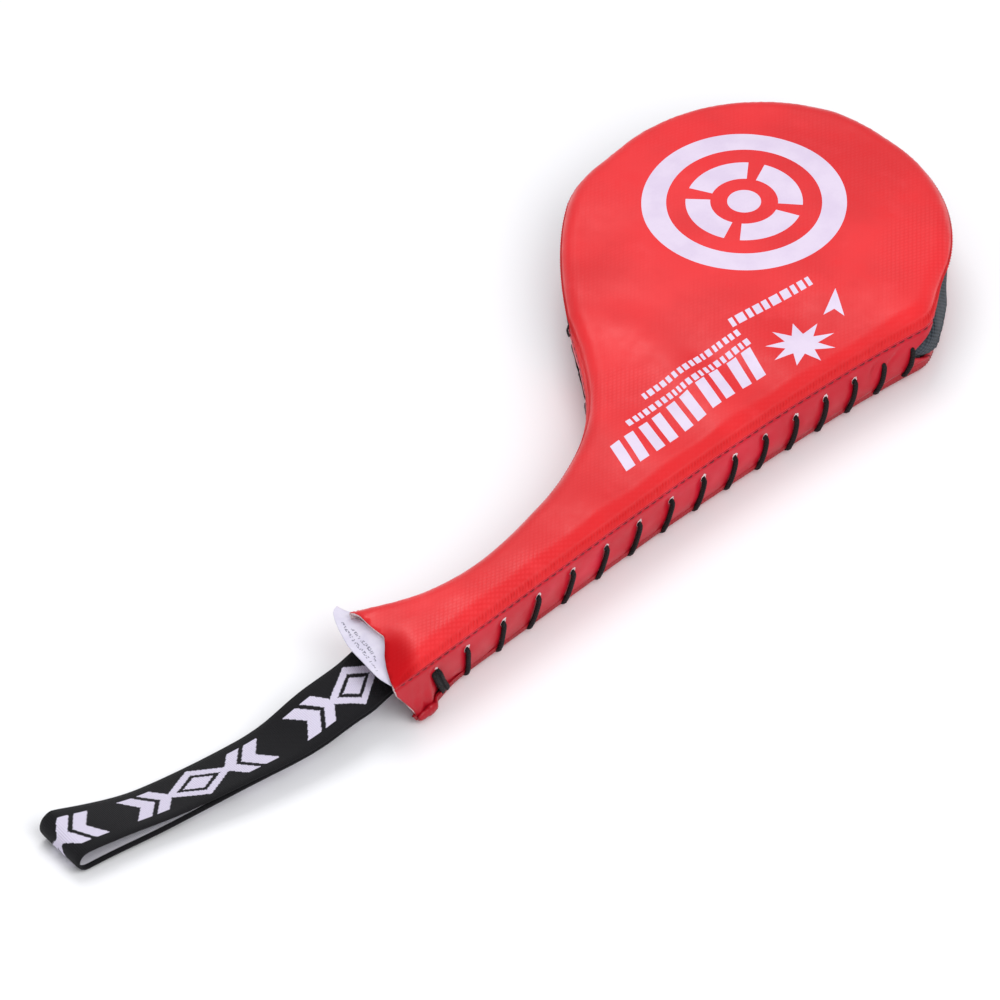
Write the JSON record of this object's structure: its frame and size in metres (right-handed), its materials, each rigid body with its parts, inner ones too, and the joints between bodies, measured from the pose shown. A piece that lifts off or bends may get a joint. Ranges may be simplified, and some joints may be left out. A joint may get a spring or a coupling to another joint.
{
  "type": "kick paddle",
  "caption": "Padded martial-arts kick paddle with a round striking head, laced sides, a curved grip and a webbing wrist loop.",
  "frame": {"origin": "on the flat back face, near the middle of the head", "axes": "+Y from the grip towards the tip of the head, +Z out of the striking face, +X to the right seen from the striking face"},
  "size_m": [0.1572, 0.492, 0.032],
  "materials": {
    "face_leather": "semi-gloss coated synthetic leather with a fine diamond grain",
    "back_leather": "semi-gloss coated synthetic leather",
    "side_leather": "smooth semi-gloss coated synthetic leather",
    "tip_fabric": "matt woven polyester",
    "board": "matt moulded sheet",
    "head_foam": "matt closed-cell foam",
    "grip_foam": "matt firm foam",
    "batten": "bare hardwood",
    "lace": "waxed braided cord",
    "webbing": "woven elastic webbing",
    "label_satin": "white satin ribbon"
  },
  "bodies": {
    "paddle": {"front_cover": "face_leather", "back_cover": "back_leather", "right_gusset": "side_leather", "left_gusset": "side_leather", "tip_gusset": "tip_fabric", "core_board": "board", "front_head_foam": "head_foam", "back_head_foam": "head_foam", "front_grip_foam": "grip_foam", "back_grip_foam": "grip_foam", "grip_batten": "batten", "right_lace": "lace", "left_lace": "lace", "strap_anchor": "webbing"},
    "strap": {"wrist_strap": "webbing"},
    "label": {"care_label": "label_satin"}
  },
  "joints": [
    {"name": "strap_swing", "type": "hinge", "parent": "paddle", "child": "strap", "pos_m": [-0.00473, -0.27368, 0.013], "axis": [-0.8251, 0.5649, 0], "range_deg": [-80, 85]},
    {"name": "label_fold", "type": "hinge", "parent": "paddle", "child": "label", "pos_m": [-0.0032, -0.27145, 0.024], "axis": [-0.8251, 0.5649, 0], "range_deg": [-80, 85]}
  ],
  "couplings": [
    {"joint": "label_fold", "follows": "strap_swing", "ratio": 1}
  ]
}
